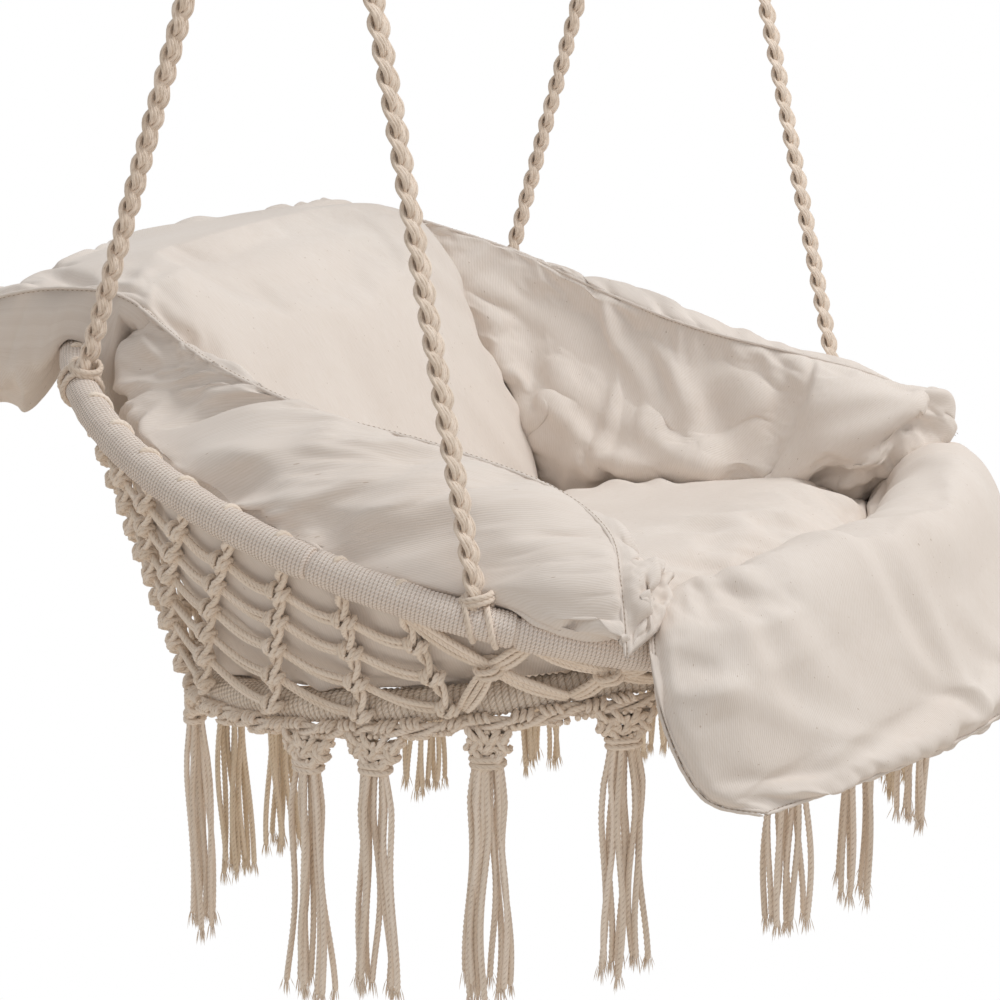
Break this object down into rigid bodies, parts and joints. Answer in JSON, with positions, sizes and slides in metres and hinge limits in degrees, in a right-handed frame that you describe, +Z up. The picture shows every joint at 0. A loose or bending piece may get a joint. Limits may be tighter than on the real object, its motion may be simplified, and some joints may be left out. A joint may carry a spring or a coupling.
{
  "type": "hammock chair",
  "caption": "Round knotted-cord hanging chair: a wound arm ring over a smaller seat ring, net sides, fringe of tassels and a filled cushion, hung from braided ropes.",
  "frame": {"origin": "midway between the two points that hold the chair up: the upper inner sides of the two carabiners", "axes": "+Z up, the sitter faces -Y, +X is the sitter's left"},
  "size_m": [0.782, 0.8395, 1.2007],
  "materials": {
    "bright_steel": "smooth, slightly dulled zinc plating",
    "tube_steel": "plain grey paint, hidden under the cord",
    "cotton_cord": "natural beige cotton cord, matte",
    "cushion_twill": "cream cotton twill with a few dark seed flecks, matte"
  },
  "bodies": {
    "carabiners": {"carabiner_left": "bright_steel", "carabiner_right": "bright_steel", "carabiner_pin_left": "bright_steel", "carabiner_pin_right": "bright_steel"},
    "chair": {"hang_ring_left": "bright_steel", "hang_ring_right": "bright_steel", "rope_back_left": "cotton_cord", "rope_whipping_back_left": "cotton_cord", "rope_knot_back_left": "cotton_cord", "rope_front_left": "cotton_cord", "rope_whipping_front_left": "cotton_cord", "rope_knot_front_left": "cotton_cord", "rope_back_right": "cotton_cord", "rope_whipping_back_right": "cotton_cord", "rope_knot_back_right": "cotton_cord", "rope_front_right": "cotton_cord", "rope_whipping_front_right": "cotton_cord", "rope_knot_front_right": "cotton_cord", "arm_ring_tube": "tube_steel", "seat_ring_tube": "tube_steel", "arm_ring_wrap_1": "cotton_cord", "arm_ring_wrap_2": "cotton_cord", "arm_ring_wrap_3": "cotton_cord", "seat_ring_wrap_1": "cotton_cord", "seat_ring_wrap_2": "cotton_cord", "seat_ring_wrap_3": "cotton_cord", "side_net": "cotton_cord", "seat_net": "cotton_cord", "hem_left": "cotton_cord", "hem_right": "cotton_cord", "tassel_01": "cotton_cord", "tassel_02": "cotton_cord", "tassel_03": "cotton_cord", "tassel_04": "cotton_cord", "tassel_05": "cotton_cord", "tassel_06": "cotton_cord", "tassel_07": "cotton_cord", "tassel_08": "cotton_cord", "tassel_09": "cotton_cord", "tassel_10": "cotton_cord", "tassel_11": "cotton_cord", "tassel_12": "cotton_cord", "tassel_13": "cotton_cord", "tassel_14": "cotton_cord", "tassel_15": "cotton_cord", "tassel_16": "cotton_cord", "cushion_seat": "cushion_twill", "cushion_back": "cushion_twill", "cushion_arm_left": "cushion_twill", "cushion_arm_right": "cushion_twill", "cushion_front": "cushion_twill"},
    "gate_left": {"carabiner_gate_left": "bright_steel"},
    "gate_right": {"carabiner_gate_right": "bright_steel"}
  },
  "joints": [
    {"name": "swing", "type": "hinge", "parent": "carabiners", "child": "chair", "pos_m": [0, 0, -0.0595], "axis": [1, 0, 0], "range_deg": [-30, 30]},
    {"name": "gate_left", "type": "hinge", "parent": "carabiners", "child": "gate_left", "pos_m": [0.305, 0, -0.0415], "axis": [0, 1, 0], "range_deg": [0, 24], "stiffness_Nm_per_rad": 0.5, "springref_deg": -11.46},
    {"name": "gate_right", "type": "hinge", "parent": "carabiners", "child": "gate_right", "pos_m": [-0.305, 0, -0.0415], "axis": [0, -1, 0], "range_deg": [0, 24], "stiffness_Nm_per_rad": 0.5, "springref_deg": -11.46}
  ]
}
